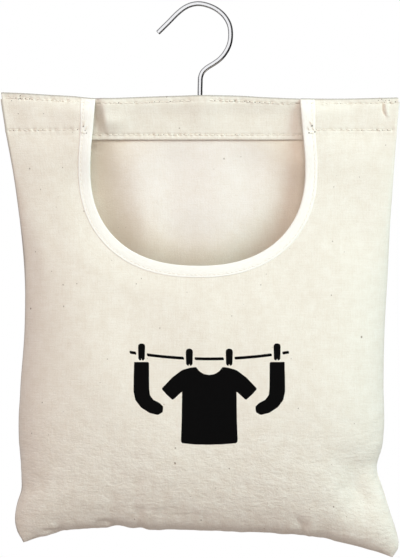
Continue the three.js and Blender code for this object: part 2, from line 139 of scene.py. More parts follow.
def finer(line, count):
    return between(np.linspace(0, len(line) - 1, count), np.arange(len(line)), line)


def softened(line, times):
    for _ in range(times):
        line[1:-1] = (line[:-2] + 2 * line[1:-1] + line[2:]) / 4
    return line


def inside(points, loop):
    """Which points lie in a closed outline."""
    x, y = points.T
    odd = np.zeros(len(points), bool)
    for (ax, ay), (bx, by) in zip(loop, np.roll(loop, -1, axis=0)):
        if ay != by:
            odd ^= ((ay > y) != (by > y)) & (x < (bx - ax) * (y - ay) / (by - ay) + ax)
    return odd


# Where the cloth lies

# The outline as it hangs: x of the side edges by share of the way down, drop of the bottom by share across
left_edge = through([
    (0, -152.6), (0.077, -148.4), (0.184, -142.3), (0.29, -137.7), (0.4, -134.6), (0.525, -134.6),
    (0.65, -137.7), (0.75, -139.2), (0.855, -137), (0.885, -137.1), (0.912, -140), (0.95, -141.8),
    (0.978, -139.9), (1, -135.4),
])
right_edge = through([
    (0, 152), (0.075, 150), (0.178, 147.7), (0.283, 145.4), (0.386, 143.9), (0.508, 141.6), (0.627, 140.8),
    (0.725, 141), (0.768, 139.2), (0.79, 136.7), (0.805, 135.6), (0.82, 136.2), (0.845, 139.2),
    (0.863, 141.4), (0.907, 146.2), (0.94, 150), (0.97, 152.2), (0.985, 151.5), (1, 147.6),
])
bottom_edge = through([
    (0, 342.8), (0.035, 339.4), (0.068, 337.3), (0.085, 335.9), (0.104, 334), (0.12, 333.6), (0.2, 332),
    (0.23, 331.5), (0.246, 330.2), (0.262, 330.2), (0.281, 331.4), (0.3, 332), (0.317, 331.4), (0.337, 333.3),
    (0.36, 333.7), (0.39, 333.3), (0.49, 333.9), (0.59, 335), (0.66, 335.6), (0.7, 336.6), (0.735, 336.9),
    (0.78, 338.4), (0.818, 339.8), (0.85, 342.3), (0.916, 346.8), (0.981, 352.2), (1, 354.2),
])
# How far the top edge stands above the level of the hem
top_lift = through([
    (-153, 2.4), (-134, 1.4), (-117, 0.2), (-98, -0.9), (-80, -2.6), (-71, -2.7), (-52, -1.9), (-34, -1.1),
    (-15, -0.5), (0, -0.1), (12, -0.1), (31, -0.5), (49, -1.6), (68, -2.4), (77, -2.7), (105, -3), (151, -2),
])
# How the back panel and the hem in front of the bar wave from side to side
back_wave = through([
    (-150, 0), (-66, 0), (-54, -0.6), (-44, -0.9), (-34, 0), (-24, 1.1), (-10, 0.9), (2, 0), (14, -0.2),
    (24, 0.7), (36, 2), (48, 1.4), (64, -2), (80, -6.5), (100, -5.5), (130, 0), (150, 0),
])
band_wave = through([
    (-150, 0), (-98, 0.2), (-90, 0.2), (-82, 0.1), (-79, -0.9), (-75, -4.4), (-72.6, -6.5), (-71.2, -6.9),
    (-69.3, -6.6), (-54, -3.6), (-30, -1.8), (-10, -1.7), (2, -2.6), (8, -2.2), (20, -0.6), (40, -0.3),
    (58, -0.3), (70, 0.1), (87, 0.2), (150, 0),
])


def spot(u, drop):
    """x of a place, and of the side edges beside it. u is its share of the way across."""
    share = np.clip(drop / bottom_edge(u), 0, 1)
    left, right = left_edge(share), right_edge(share)
    return left + (right - left) * u, left, right


def flat_of(x, drop):
    """The place on the flat pattern of a place on the hanging bag."""
    x, drop = np.asarray(x, float), np.asarray(drop, float)
    u = np.full(np.shape(x), 0.5)
    for _ in range(5):
        _, left, right = spot(u, np.maximum(drop, 0))
        u = (x - left) / (right - left)
    return np.stack([(u - 0.5) * SPAN, drop], axis=-1)


def in_pouch(u, drop):
    """Share of the way down the pouch, and a height that is 0 at the side seams and 1 between them."""
    down = np.clip((drop - HEM_ROW) / (bottom_edge(u) - HEM_ROW), 0, 1)
    return down, np.maximum(1 - np.abs(2 * u - 1) ** 4, 0) ** 0.6


def swell(u, drop):
    """0 at the seams, 1 at the pouch's fullest place."""
    down, across = in_pouch(u, drop)
    return 1.5 * math.sqrt(3) * down * np.sqrt(1 - down) * across


def back_swell(u, drop):
    """As swell, for the back panel, which stays flat in the middle of the mouth."""
    down, across = in_pouch(u, drop)
    from_middle = around_mouth(spot(u, drop)[0], drop, 0.8 * SCOOP_DEPTH)
    outside_mouth = smooth(from_middle, 0.55, 1.05) * smooth(drop, HEM_ROW, HEM_ROW + 45)
    return outside_mouth * (1 - down**8) ** 0.6 * across


def around_mouth(x, drop, depth):
    """0 in the middle of the mouth and 1 at its edge, if its round part is as deep as given."""
    aside = np.abs(x - SCOOP_SHIFT) / SCOOP_HALF
    below = np.maximum(drop - SCOOP_SIDE, 0) / depth
    return (aside**SCOOP_POWER + below**SCOOP_POWER) ** (1 / SCOOP_POWER)


def seam_line_y(u, drop):
    """How the side seams lie from front to back: forward beside the hem, and in the middle lower down."""
    return -FOLD_SHIFT * np.where(u < 0.5, 0.6, 0.95) * (1 - smooth(drop, 45, 170))


def past_seam(u, drop, ramp):
    x, left, right = spot(u, drop)
    return smooth(np.minimum(x - left, right - x), 0, ramp)


def hem_layer(u, drop, towards, more=0.0):
    """y of a layer of the hem, which goes round the bar. towards is -1 in front."""
    if towards < 0:
        beside = -HEM_BULGE - (FOLD_SHIFT - HEM_BULGE) * (1 - smooth(drop, 2, 17))
    else:
        over = smooth(drop, TOP_ROW, BAR_FULL_TOP)
        beside = HEM_BULGE * over - FOLD_SHIFT * (1 - smooth(drop, 2, 9)) * (1 - over)
    below = -HEM_SHIFT * plateau(drop, 20, 28, 40, 150)
    bar = 1 - smooth(drop, BAR_FULL_BOTTOM, HEM_ROW)
    middle = below + (beside - below) * bar + towards * LAYER + more
    side = seam_line_y(u, drop) + towards * LAYER
    return side + (middle - side) * past_seam(u, drop, HEM_RAMP)


def hem_wave(x, drop):
    """How far the hem's cloth waves to the back, or to the front where it is negative."""
    return band_wave(x - 0.15 * (drop - 20) * (x < 0))


def behind_fold(u, drop):
    """y of the hem's layer behind the bar. Its top goes with the fold."""
    wave = FOLD_WAVE * hem_wave(spot(u, drop)[0], drop)
    return hem_layer(u, drop, 1) + wave * (1 - smooth(drop, 1.5, 5.5))


def height(x, drop):
    return HEM_TOP - drop + top_lift(x) * (1 - smooth(drop, 0, 8.5))


def placed(x, y, drop):
    return np.stack([x, y, height(x, drop)], axis=-1)


def top_row(x):
    """Drop of the stitching along the top edge."""
    lift = top_lift(x)
    return TOP_ROW - 0.76 * np.minimum(lift, 0) - 0.4 * np.maximum(lift, 0)


def front_stack(drop):
    return STRAP_STACK + (SEAM_STACK - STRAP_STACK) * smooth(drop, HEM_DEPTH, HEM_DEPTH + 40)


def back_stack(drop):
    return (SEAM_STACK - LAYER) * smooth(drop, HEM_DEPTH, HEM_DEPTH + 40)


def front_at(u, drop):
    x = spot(u, drop)[0]
    lift = smooth(drop, 1.5, 12)
    out = FOLD_SHIFT * (1 - lift) + STRAP_BULGE * lift * (1 - smooth(drop, HEM_DEPTH, HEM_DEPTH + 80))
    side = -seam_line_y(u, drop)
    fold = 1.1 * bell(x - 7, 15) * plateau(drop, 120, 180, 240, 310)  # the bag was packed with it
    flare = np.where(x < 0, LEFT_FLARE, RIGHT_FLARE) * (1 - smooth(np.abs(x), 84, 125))
    flare = flare * plateau(drop, 2, 14, 24, 70)
    from_middle = around_mouth(x, drop, SCOOP_DEPTH - SCOOP_SIDE)
    sink = 3 * (1 - smooth(from_middle, 1, 1.35)) * (1 - smooth(x, -35, 20)) * smooth(drop, 45, 80)
    y = -front_stack(drop) - side - (out - side) * past_seam(u, drop, STRAP_RAMP)
    y = y - FRONT_BELLY * swell(u, drop) - fold - flare + sink
    return placed(x, y, drop)


def facing_at(u, drop):
    return front_at(u, drop) + [0, 2 * FOLD, 0]


def back_at(u, drop):
    x = spot(u, drop)[0]
    wave = back_wave(x) * plateau(drop, HEM_ROW, HEM_ROW + 25, 110, 250)
    lean = 4 * (1 - smooth(np.abs(x) / SCOOP_HALF, 0.4, 1)) * plateau(drop, 45, 105, 108, 165)
    hollow = 3.8 * plateau(-x, 62, 82, 100, 135) * plateau(drop, 33, 42, 48, 82)
    y = behind_fold(u, drop) + back_stack(drop) + BACK_BELLY * back_swell(u, drop) + wave + hollow - lean
    return placed(x, y, drop)


def band_at(u, drop):
    x = spot(u, drop)[0]
    doubled = 0.75 * smooth(drop, BAR_FULL_BOTTOM, HEM_ROW)  # the hem's lower edge is turned under
    wave = hem_wave(x, drop) * (FOLD_WAVE + (1 - FOLD_WAVE) * smooth(drop, 1, 9))
    wave = wave * (1 - 0.85 * smooth(drop, 9 + 9 * smooth(-x, 50, 64), 34))
    return placed(x, hem_layer(u, drop, -1, wave - doubled), drop)


def folded(flat, near, far, radius):
    """Lays a flat pattern over a fold: drops above zero go down the near side, the rest down the far side."""
    u, along = flat[:, 0] / SPAN + 0.5, flat[:, 1]
    arc = radius * math.pi / 2
    start = np.full_like(u, HALF + radius)
    drop = start + np.maximum(np.abs(along) - arc, 0)
    sides = np.where((along > 0)[:, None], near(u, drop), far(u, drop))
    angle = np.clip(along / radius, -math.pi / 2, math.pi / 2)
    a, b = near(u, start), far(u, start)
    over = (a + b) / 2
    over[:, 1] += (a[:, 1] - b[:, 1]) / 2 * np.sin(angle)
    over[:, 2] += radius * np.cos(angle)
    return np.where((np.abs(along) < arc)[:, None], over, sides)


# Panels of cloth

class Panel:
    """A sheet of cloth: flat places, triangles, and where the middle of the cloth lies."""

    def __init__(self, outline, lines, dots, laid, outwards, hole=None):
        ends = np.cumsum([len(outline)] + [len(line) for line in lines])
        starts = np.concatenate([[0], ends[:-1]])
        edges = [(a, a + 1 if a + 1 < end else s) for s, end in zip(starts, ends) for a in range(s, end)]
        points = np.concatenate([outline, *lines, dots])
        made = delaunay_2d_cdt([Vector(p) for p in points.tolist()], edges, [], 1, 1e-5)
        self.flat = np.array([tuple(v) for v in made[0]])
        self.faces = np.array(made[2])
        self.index = {source: i for i, sources in enumerate(made[3]) for source in sources}
        if hole is not None:
            self.faces = self.faces[~inside(self.flat[self.faces].mean(axis=1), hole)]
        self.at = folded(self.flat, *laid)
        corners = [(x, y, 0) for x, y in self.flat.tolist()]
        self.tree = BVHTree.FromPolygons(corners, self.faces.tolist(), all_triangles=True)
        if self.where([(0, MIDDLE_DROP + 40)])[1][0, 1] * outwards < 0:
            self.faces = self.faces[:, ::-1].copy()

    def chain(self, first, last):
        return np.array([self.index[i] for i in range(first, last)])

    def edges(self):
        return np.concatenate([self.faces[:, pair] for pair in ([0, 1], [1, 2], [2, 0])])

    def normals(self):
        corners = self.at[self.faces]
        face_normals = np.cross(corners[:, 1] - corners[:, 0], corners[:, 2] - corners[:, 0])
        summed = np.zeros_like(self.at)
        for k in range(3):
            np.add.at(summed, self.faces[:, k], face_normals)
        return unit(summed)

    def where(self, flat, lift=0.0):
        """Places and normals on the laid cloth of flat places, moved outwards by lift."""
        normals = self.normals()
        places, turned = [], []
        for x, y in np.asarray(flat, float):
            hit, _, face, _ = self.tree.find_nearest((x, y, 0))
            ids = self.faces[face]
            (ax, ay), (bx, by), (cx, cy) = self.flat[ids]
            size = (by - cy) * (ax - cx) + (cx - bx) * (ay - cy)
            wa = ((by - cy) * (hit.x - cx) + (cx - bx) * (hit.y - cy)) / size
            wb = ((cy - ay) * (hit.x - cx) + (ax - cx) * (hit.y - cy)) / size
            weights = np.array([wa, wb, 1 - wa - wb])
            places.append(weights @ self.at[ids])
            turned.append(weights @ normals[ids])
        turned = unit(np.array(turned))
        return np.array(places) + turned * lift, turned

    def turn_in(self, chain, towards, reach, centre_drop, radius, depth):
        """Rolls a seam edge inwards by a depth and adds the allowance behind it."""
        edge, flat = self.at[chain], self.flat[chain]
        out = unit(np.cross(np.gradient(edge, axis=0), self.normals()[chain]))
        centre = [0, 0, HEM_TOP - abs(centre_drop)]
        out *= np.sign(((edge - centre) * out)[:, [0, 2]].sum(axis=1))[:, None]
        level = unit(out * [1, 0, 1])
        inwards = np.array([0, towards, 0])
        begin = np.arctan2(out @ inwards, (out * level).sum(axis=1))
        flat_out = np.gradient(flat, axis=0)[:, ::-1] * [1, -1]
        flat_out = unit(flat_out * np.sign(((flat - [0, centre_drop]) * flat_out).sum(axis=1))[:, None])
        rings, rings_flat = [], []
        for share in (0.2, 0.4, 0.6, 0.8, 1):
            angle = begin + (math.pi - begin) * share
            aside = radius * (np.sin(angle) - np.sin(begin))
            inside_by = depth * (np.cos(begin) - np.cos(angle)) / (1 + np.cos(begin))
            rings.append(edge + aside[:, None] * level + inside_by[:, None] * inwards)
            rings_flat.append(flat + flat_out * (radius * (angle - begin))[:, None])
        rolled, rolled_flat = rings[-1], rings_flat[-1]
        for share in (0.3, 0.65, 1):
            rings.append(rolled - level * (reach * share)[:, None])
            rings_flat.append(rolled_flat + flat_out * (reach * share)[:, None])
        with_edge = (self.edges() == chain[:2]).all(axis=1).any()
        count = len(chain)
        faces, before = [], chain
        for ring in range(len(rings)):
            after = np.arange(count) + len(self.at) + ring * count
            for a, b, c, d in zip(before, before[1:], after[1:], after):
                faces += [(b, a, d), (b, d, c)] if with_edge else [(a, b, c), (a, c, d)]
            before = after
        self.at = np.concatenate([self.at, *rings])
        self.flat = np.concatenate([self.flat, *rings_flat])
        self.faces = np.concatenate([self.faces, faces])

    def solid(self):
        """Points and faces of the cloth with its thickness, closed round its edges."""
        normals, count, edges = self.normals(), len(self.at), self.edges()
        keys = edges @ [count, 1]
        a, b = edges[~np.isin(keys, edges @ [1, count])].T
        sides = np.concatenate([np.stack([b, a, a + count], 1), np.stack([b, a + count, b + count], 1)])
        points = np.concatenate([self.at + normals * HALF, self.at - normals * HALF])
        return points, np.concatenate([self.faces, self.faces[:, ::-1] + count, sides])


def add_object(name, data):
    made = bpy.data.objects.new(name, data)
    bpy.context.scene.collection.objects.link(made)
    return made


def add_mesh(name, points, faces, looks, flat=None, face_looks=None, sharp=55):
    mesh = bpy.data.meshes.new(name)
    mesh.from_pydata((np.asarray(points) * MM).tolist(), [], [list(map(int, face)) for face in faces])
    for look in looks:
        mesh.materials.append(look)
    if flat is not None:
        layer = mesh.uv_layers.new(name="flat")
        corners = np.zeros(len(mesh.loops), np.int32)
        mesh.loops.foreach_get("vertex_index", corners)
        layer.data.foreach_set("uv", (np.asarray(flat)[corners] / 100).astype(np.float32).ravel())
    if face_looks is not None:
        mesh.polygons.foreach_set("material_index", np.asarray(face_looks, np.int32))
    mesh.polygons.foreach_set("use_smooth", np.ones(len(mesh.polygons), bool))
    mesh.set_sharp_from_angle(angle=math.radians(sharp))
    mesh.update()
    return add_object(name, mesh)


def fit(made, body, slot, *nodes):
    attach(made, body)
    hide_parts(*nodes)
    return made


# The mouth's edge and the print

def mouth_edge(grow=0.0, top=0.0, flare=0.0):
    """The mouth's edge as (x, drop) points from the top left round to the top right, moved into the cloth."""
    drops = np.linspace(top, SCOOP_SIDE, 30)[:-1]
    halves = SCOOP_TOP_HALF + (SCOOP_HALF - SCOOP_TOP_HALF) * smooth(drops, 0, SCOOP_SIDE)
    angle = np.linspace(0, math.pi, 181)
    across, down = (np.sign(v) * np.abs(v) ** (2 / SCOOP_POWER) for v in (np.cos(angle), np.sin(angle)))
    x = np.concatenate([-halves, -SCOOP_HALF * across, halves[::-1]]) + SCOOP_SHIFT
    drop = np.concatenate([drops, SCOOP_SIDE + (SCOOP_DEPTH - SCOOP_SIDE) * down, drops[::-1]])
    line = resampled(np.stack([x, drop], 1), 2.0)
    along = unit(np.gradient(line, axis=0))
    grow = grow * (1 + flare * (1 - smooth(line[:, 1], 4, 36)))
    return line + np.stack([-along[:, 1], along[:, 0]], 1) * grow[:, None]


def line_sag(x):
    return 5 * (1 - (x / 60) ** 2)


def mirrored(right):
    """A closed outline from its right half, which starts and ends on the middle line."""
    right = np.array(right, float)
    return np.concatenate([right, right[-2:0:-1] * [-1, 1]])


def print_outlines():
    """Washing on a line: the print's outlines on the hanging bag, as (x, drop) loops."""
    shirt = mirrored([
        (0, 6), (4, 5.4), (7.5, 3.2), (10, 0), (14.5, 0.6), (20.5, 2.4), (28, 8), (36, 16.5), (32, 21),
        (27.5, 25), (20.5, 18.5), (20.8, 40), (21.4, 56), (20.4, 57.4), (10, 58.4), (0, 58.6),
    ])
    sock = np.array([
        (5.6, 0), (5.9, 12), (6, 22), (4.6, 28.5), (0.5, 34), (-6, 38.2), (-12.5, 39.8), (-16, 37.6),
        (-16.4, 33.5), (-13.5, 30.6), (-9, 28.4), (-6.4, 25), (-5.8, 20), (-5.7, 10), (-5.6, 0),
    ])
    peg = mirrored([(0, -8), (2.1, -7.6), (2.7, -6), (2.4, 3.6), (1.4, 5), (0.5, 5), (0, 3.4)])
    hung = ((shirt, 0), (sock, 51), (sock * [-1, 1], -51))
    loops = [outline + [x, line_sag(x) + 6] for outline, x in hung]
    pegs = [-51, -15, 15, 51]
    loops += [peg + [x, line_sag(x) + (0 if abs(x) > 30 else 0.6)] for x in pegs]
    ends = [-60, *[x + d for x in pegs for d in (-4, 4)], 60]
    for start, end in zip(ends[::2], ends[1::2]):
        x = np.linspace(start, end, max(3, int((end - start) / 2)))
        above, below = line_sag(x) - 1.1, line_sag(x) + 1.1
        loops.append(np.stack([np.append(x, x[::-1]), np.append(above, below[::-1])], 1))
    closed = [resampled(np.concatenate([loop, loop[:1]]), 1.5)[:-1] for loop in loops]
    return [loop + [PRINT_X, PRINT_DROP] for loop in closed]


# Building the panels

def staggered(x, rows, step):
    """Rows of dots, every other one half a step aside."""
    return np.concatenate([
        np.stack([x + (step / 2 if k % 2 else 0), np.full_like(x, row)], 1) for k, row in enumerate(rows)
    ])


def hexagons(step, low, high):
    rows = np.arange(low, high, step * math.sqrt(3) / 2)
    return staggered(np.arange(-SPAN / 2, SPAN / 2 + step, step), rows, step)


def rows_of_dots(rows, step):
    return staggered(np.arange(-SPAN / 2 + 0.8, SPAN / 2, step), rows, step)


def row_dots(row):
    return rows_of_dots([row + k for k in (-3.2, -2.2, -1.4, -0.7, 0, 0.7, 1.4, 2.2, 3.2)], 1.15)


def fill(outline, lines, groups):
    """Dots inside an outline, from groups of (points, gap to earlier points)."""
    taken = np.concatenate([outline, *lines])
    fixed = len(taken)
    for points, gap in groups:
        tree = KDTree(len(taken))
        for i, (x, y) in enumerate(taken.tolist()):
            tree.insert((x, y, 0), i)
        tree.balance()
        kept = [p for p in points[inside(points, outline)].tolist() if tree.find((*p, 0))[2] > gap]
        taken = np.concatenate([taken, np.array(kept).reshape(-1, 2)])
    return taken[fixed:]


# Creases and ridges of the front as (line of (x, drop) points, width, depth)
CREASES = [
    ([(141.6, 3.4), (140, 7), (140.2, 12), (141.8, 16.5)], 1.0, 1.8),
    ([(143.8, 3.4), (142.3, 7.4), (142.4, 12), (144, 16.5)], 1.5, -1.5),
    ([(-121, 333.5), (-113, 334), (-106, 332)], 2.0, 1.7),
    ([(-79, 327), (-71, 326.5), (-64, 329)], 2.4, 2.2),
    ([(73, 322), (77, 328), (80.5, 337.5)], 2.6, 1.5),
    ([(84, 318), (85, 327), (87, 337)], 3.2, -1.1),
    ([(112, 284), (116, 297), (120, 311), (125, 325)], 14, 5.2),
    ([(120, 286), (125, 302), (130, 316)], 8, 3.0),
    ([(-139, 303), (-130, 300), (-120, 292)], 6, 0.7),
    ([(-132, 98), (-130, 122), (-127, 150)], 7, 1.4),
    ([(-58, 315), (-40, 316.5), (-15, 316)], 1.8, 0.35),
    ([(-46, 320), (-20, 320.5), (4, 319.5)], 1.8, 0.3),
    ([(79.5, 330), (82, 334), (84.5, 338)], 1.3, -0.9),
]
NARROW = 3  # creases less wide than this need dots of their own


def crease_dots():
    dots = []
    for line, width, _ in CREASES:
        if width < NARROW:
            points = resampled(line, 0.5 * width)
            aside = unit(np.gradient(points, axis=0))[:, ::-1] * [1, -1]
            dots += [points + aside * width * k for k in (0, 0.5, -0.5, 1, -1, 1.5, -1.5, 2.1, -2.1)]
    return flat_of(*np.concatenate(dots).T)


def upright(x, drops):
    return np.stack([np.full(len(drops), x), drops], 1)


def strap_top(side, mouth_x, flat_mouth_x):
    """The outline over a strap's top and round its facing, from the side seam to the mouth."""
    inner, outer = flat_of([mouth_x + side * FACING_GAP, side * FACING_END], [0, 0])[:, 0]
    steps = np.linspace(FOLD_END, -FACING_DEPTH, 10)
    return np.concatenate([
        upright(side * SPAN / 2, [0.6, -0.6, FOLD_END]),
        upright(outer, steps),
        resampled([(outer, -FACING_DEPTH), (inner, -FACING_DEPTH)], 4)[1:-1],
        upright(inner, steps[::-1]),
        upright(flat_mouth_x, [FOLD_END, -1.1]),
    ])


FOLD_DROPS = [-1.9, -1.3, -0.85, -0.5, -0.17, 0.17, 0.5, 0.85, 1.3, 1.9, 2.7]
SEAM_TOP = 1.6

# The side and bottom edges on the flat pattern, from the top left round to the top right
shares = np.linspace(0, 1, 140)
left_seam = resampled(upright(-SPAN / 2, np.linspace(SEAM_TOP, bottom_edge(0.0), 140)), 2.6)
bottom_seam = resampled(np.stack([(shares - 0.5) * SPAN, bottom_edge(shares)], 1), 1.6)
right_seam = resampled(upright(SPAN / 2, np.linspace(bottom_edge(1.0), SEAM_TOP, 140)), 2.6)
seam_front = np.concatenate([left_seam, bottom_seam[1:], right_seam[1:]])
near_seams = np.concatenate(
    [bottom_seam - [0, k] for k in (1.2, 2.6, 4.2, 6, 8)]
    + [left_seam + [k, 0] for k in (1.1, 2.4, 4, 6)]
    + [right_seam - [k, 0] for k in (1.1, 2.4, 4, 6)]
)
mouth = mouth_edge()
mouth_flat = flat_of(*mouth.T)
front_outline = np.concatenate([
    seam_front,
    strap_top(1, mouth[-1, 0], mouth_flat[-1, 0]),
    mouth_flat[::-1],
    strap_top(-1, mouth[0, 0], mouth_flat[0, 0])[::-1],
])
print_lines = [flat_of(*loop.T) for loop in print_outlines()]
front_dots = fill(front_outline, print_lines, [
    (rows_of_dots(FOLD_DROPS, 2.4), 0.25),
    (crease_dots(), 0.4),
    (np.concatenate([flat_of(*mouth_edge(grow).T) for grow in (1.5, 3.2, 5, 7, 9, 11.5)]), 0.9),
    (row_dots(TOP_ROW + 0.7), 0.5),
    (row_dots(STRAP_ROW), 0.5),
    (near_seams, 0.8),
    (hexagons(2.6, 5, 60), 1.5),
    (hexagons(3.0, -FACING_DEPTH, 360), 1.8),
])
front = Panel(front_outline, print_lines, front_dots, (front_at, facing_at, FOLD), -1)

# The back panel's own outline goes on over the fold and down to the hem's lower edge
band_side = [0.6, -0.6, *np.linspace(-1.8, -HEM_DEPTH, 14)]
band_low = resampled([(SPAN / 2, -HEM_DEPTH), (-SPAN / 2, -HEM_DEPTH)], 2.6)[1:-1]
back_outline = np.concatenate([
    seam_front, upright(SPAN / 2, band_side), band_low, upright(-SPAN / 2, band_side)[::-1]
])
# The hook's stem goes in behind the fold, through the sloping back of the hem
slope = np.linspace(1.5, 9.5, 161)
stem_low, stem_high = np.interp([-STEM_HOLE, STEM_HOLE], behind_fold(np.full(161, 0.5), slope), slope)
stem_at = flat_of([0.0], [(stem_low + stem_high) / 2])[0]
stem_ring = np.stack([STEM_HOLE * np.cos(turns(20)), (stem_high - stem_low) / 2 * np.sin(turns(20))], 1)
hole_line = stem_at + stem_ring
crease_dense = hexagons(1.2, -HEM_DEPTH, -4)
back_dots = fill(back_outline, [hole_line], [
    (np.concatenate([stem_at + stem_ring * k for k in (1.4, 1.9, 2.6, 3.4)]), 0.5),
    (rows_of_dots(FOLD_DROPS, 2.4), 0.25),
    (np.concatenate([row_dots(sign * row) for row in (TOP_ROW + 0.7, HEM_ROW) for sign in (1, -1)]), 0.5),
    (near_seams, 0.8),
    (crease_dense[np.abs(crease_dense[:, 0] - CREASE_X) < 9], 0.8),
    (hexagons(2.6, -HEM_DEPTH, 40), 1.5),
    (hexagons(3.2, 30, 360), 1.9),
])
back = Panel(back_outline, [hole_line], back_dots, (back_at, band_at, LAYER), 1, hole_line)


# Creases, puckers and stitch grooves

def ripple(x, seed):
    """An uneven wave along a row of stitching, from -1 to 1."""
    waves = ((0.5, 0.93, 1), (0.3, 1.71, 2.1), (0.2, 3.3, 0.7))
    return sum(size * np.sin(x / length + shift * seed) for size, length, shift in waves)


def dimples(x, drop, row, start, seed, most=1.3):
    """The hollows that a row of stitching draws in where its thread goes through the cloth."""
    depth = np.random.default_rng(seed).uniform(0, 1, 200) ** 1.6 * (most - 0.2) + 0.2
    number = np.round((x - start) / PITCH).astype(int)
    return -depth[np.clip(number, -99, 99)] * bell(np.hypot(x - start - number * PITCH, drop - row), 1.0)


def crease(x, drop, line, width, depth):
    """A valley along a line of (x, drop) points, which fades at both its ends."""
    points = resampled(line, 0.8)
    fade = np.sin(np.linspace(0.25, math.pi - 0.25, len(points)))
    best = np.zeros_like(x)
    for (px, pd), share in zip(points, fade):
        best = np.maximum(best, share * bell(np.hypot(x - px, drop - pd), width))
    return -depth * best


def undulation(x, drop, seed, least=38, most=95):
    """The slow unevenness of washed canvas that hangs."""
    total = np.zeros_like(x)
    draw = np.random.default_rng(seed)
    for _ in range(14):
        length = draw.uniform(least, most)
        turn = draw.uniform(0, 2 * math.pi)
        start = draw.uniform(0, 2 * math.pi)
        total += np.sin((x * math.cos(turn) + drop * 0.7 * math.sin(turn)) * 2 * math.pi / length + start)
    return total / 14


def shape_panel(panel, seed, depth, start, rise_of):
    """Moves a panel's cloth out by an undulation of the pouch, and by what a function adds."""
    x, u, along = panel.at[:, 0], panel.flat[:, 0] / SPAN + 0.5, panel.flat[:, 1]
    drop = np.abs(along)
    rise = depth * undulation(x, drop, seed) * smooth(along, start, 60)
    rise *= np.sqrt(np.clip(swell(u, drop), 0, 1))
    panel.at += panel.normals() * (rise + rise_of(x, u, along, drop))[:, None]


def front_rise(x, u, along, drop):
    off_top, off_strap, outer = drop - top_row(x), drop - STRAP_ROW, along > 0
    rise = 0.35 * ripple(x, 4) * bell(off_strap, 2.6) - 0.3 * bell(off_strap, 1.2) - 0.4 * bell(off_top, 1.2)
    rise = rise * outer
    rise += 0.45 * ripple(x, 1) * bell(off_top + 1, 2.2) * (along > 1.5)
    for side in (-1, 1):
        here = outer & (x * side > 0)
        rise += dimples(x, drop, top_row(x), side * STRAP_TOP_END, 31 + side) * here
        rise += dimples(x, drop, STRAP_ROW, side * STRAP_ROW_END, 41 + side, 1.1) * here
    rise += 0.6 * bell(bottom_edge(u) - drop - 6, 3) * (1 - (2 * u - 1) ** 6)
    rise += 0.75 * undulation(x, drop, 17, 7, 16) * smooth(along, 190, 300)
    for line, width, depth in CREASES:
        rise += crease(x, drop, line, width, depth) * outer
    return rise


def back_rise(x, u, along, drop):
    off_top, off_hem = drop - top_row(x), drop - HEM_ROW
    rise = 0.35 * ripple(x, 7) * bell(off_hem, 2.4) - 0.3 * bell(off_hem, 1.1) - 0.15 * bell(off_top, 1.2)
    rise += 0.4 * ripple(x, 2) * bell(off_top + 1, 2.2) * (drop > 1.5)
    away_from_stem = (np.abs(x - 1) > 6) | (along > 0)
    rise += dimples(x, drop, top_row(x), -BACK_TOP_END, 51) * away_from_stem
    return rise + dimples(x, drop, HEM_ROW, -HEM_ROW_END, 53, 1.1)


shape_panel(front, 5, 2.2, 30, front_rise)
shape_panel(back, 11, 1.8, 36, back_rise)


# Materials

def linear(*colour):
    """A colour as written from 0 to 255, as the shader takes it."""
    return tuple(c / 255 / 12.92 if c < 10 else ((c / 255 + 0.055) / 1.055) ** 2.4 for c in colour) + (1,)


class Value:
    """An output of a shader node, to reckon with."""

    def __init__(self, nodes, socket):
        self.nodes, self.socket = nodes, socket

    def out(self, key):
        """Another output of the same node."""
        return Value(self.nodes, self.socket.node.outputs[key])

    def __add__(self, other):
        return self.nodes.math("ADD", self, other)

    def __sub__(self, other):
        return self.nodes.math("SUBTRACT", self, other)

    def __rsub__(self, other):
        return self.nodes.math("SUBTRACT", other, self)

    def __mul__(self, other):
        return self.nodes.math("MULTIPLY", self, other)

    def __truediv__(self, other):
        return self.nodes.math("DIVIDE", self, other)


class Nodes:
    """A tree of shader nodes."""

    def __init__(self, tree):
        self.tree = tree

    def put(self, socket, value):
        if isinstance(value, Value):
            self.tree.links.new(value.socket, socket)
        else:
            socket.default_value = value

    def new(self, kind, inputs=(), output=0, **settings):
        """Makes a node, with inputs by order or by name, and gives one of its outputs."""
        node = self.tree.nodes.new("ShaderNode" + kind)
        for key, setting in settings.items():
            setattr(node, key, setting)
        for key, value in inputs.items() if isinstance(inputs, dict) else enumerate(inputs):
            self.put(node.inputs[key], value)
        return Value(self, node.outputs[output])

    def math(self, operation, *values):
        return self.new("Math", values, operation=operation)

    def vector(self, *parts):
        return self.new("CombineXYZ", parts)

    def place(self):
        return self.new("TexCoord", (), "Object")

    def noise(self, vector, scale, detail=2.0, rough=0.5):
        return self.new("TexNoise", {"Vector": vector, "Scale": scale, "Detail": detail, "Roughness": rough})

    def ease(self, value, start, end, low=0.0, high=1.0):
        """An even change from low to high as a value goes from start to end."""
        return self.new("MapRange", [value, start, end, low, high], interpolation_type="SMOOTHSTEP")

    def ramp(self, value, *stops):
        """A colour by a value, between two stops of (value, colour)."""
        made = self.new("ValToRGB", [value])
        for element, stop in zip(made.socket.node.color_ramp.elements, stops):
            element.position, element.color = stop
        return made

    def mix(self, share, a, b, blend="MIX"):
        return self.new("Mix", {0: share, 6: a, 7: b}, 2, data_type="RGBA", blend_type=blend)

    def darkened(self, tone, share):
        return self.mix(1.0, tone, self.vector(share, share, share), "MULTIPLY")


